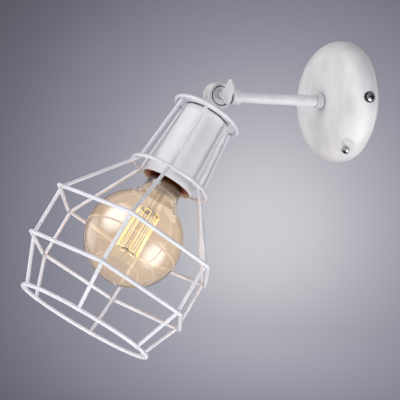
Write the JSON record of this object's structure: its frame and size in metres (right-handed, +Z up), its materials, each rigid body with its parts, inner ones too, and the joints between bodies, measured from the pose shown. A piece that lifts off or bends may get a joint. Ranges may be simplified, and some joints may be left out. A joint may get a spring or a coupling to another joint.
{
  "type": "wall spotlight",
  "caption": "Wall spotlight: a round canopy, a straight arm and a pivoting head with an open wire cage round a globe bulb.",
  "frame": {"origin": "centre of the canopy's back on the wall, midway between the two wall screws", "axes": "+Y into the wall, -Y along the arm into the room, +Z up, +X to the right seen from the room's far side looking at +Y"},
  "size_m": [0.141, 0.3034, 0.2779],
  "materials": {
    "white_paint": "satin powder coat",
    "zinc_steel": "zinc plated",
    "chrome_screw": "polished",
    "ivory_plastic": "matt",
    "brass": "bare",
    "grey_plastic": "matt",
    "white_plastic": "glossy",
    "ceramic": "glazed",
    "black_glass": "glossy",
    "solder": "dull",
    "amber_glass": "amber tinted",
    "clear_glass": "clear",
    "nickel_wire": "bare",
    "glowing_filament": "glowing"
  },
  "bodies": {
    "wall_part": {"canopy": "white_paint", "mounting_plate": "zinc_steel", "side_screws": "chrome_screw", "lower_screw": "chrome_screw", "terminal_block": "ivory_plastic", "terminal_screws": "brass", "earth_screw": "brass", "arm_collar": "white_paint", "arm_lock_washer": "zinc_steel", "arm_lock_nut": "zinc_steel", "arm_tube": "white_paint", "arm_knuckle": "white_paint"},
    "wing": {"wing_screw": "white_paint"},
    "lamp_head": {"head_knuckle": "white_paint", "pressure_washer": "white_paint", "head_nipple": "zinc_steel", "nipple_nut": "zinc_steel", "cage_top_plate": "white_paint", "cage_top_ring": "white_paint", "cage_neck_ring": "white_paint", "cage_upper_hoop": "white_paint", "cage_middle_hoop": "white_paint", "cage_mouth_ring": "white_paint", "cage_rib_1": "white_paint", "cage_rib_2": "white_paint", "cage_rib_3": "white_paint", "cage_rib_4": "white_paint", "cage_rib_5": "white_paint", "cage_rib_6": "white_paint", "socket_cup": "white_paint", "holder_cap": "grey_plastic", "holder_body": "white_plastic", "holder_insert": "ceramic", "holder_shell": "brass", "holder_contact": "brass", "bulb_cap": "brass", "bulb_insulator": "black_glass", "bulb_contact": "solder", "bulb_glass": "amber_glass", "bulb_stem": "clear_glass", "bulb_leads": "nickel_wire", "filament_hooks": "nickel_wire", "filament": "glowing_filament"}
  },
  "joints": [
    {"name": "head_tilt", "type": "hinge", "parent": "wall_part", "child": "lamp_head", "pos_m": [0, -0.1296, 0], "axis": [1, 0, 0], "range_deg": [-155, 40]},
    {"name": "wing_screw_turn", "type": "hinge", "parent": "wall_part", "child": "wing", "pos_m": [0, -0.1296, 0], "axis": [1, 0, 0], "range_deg": [-180, 180]}
  ]
}
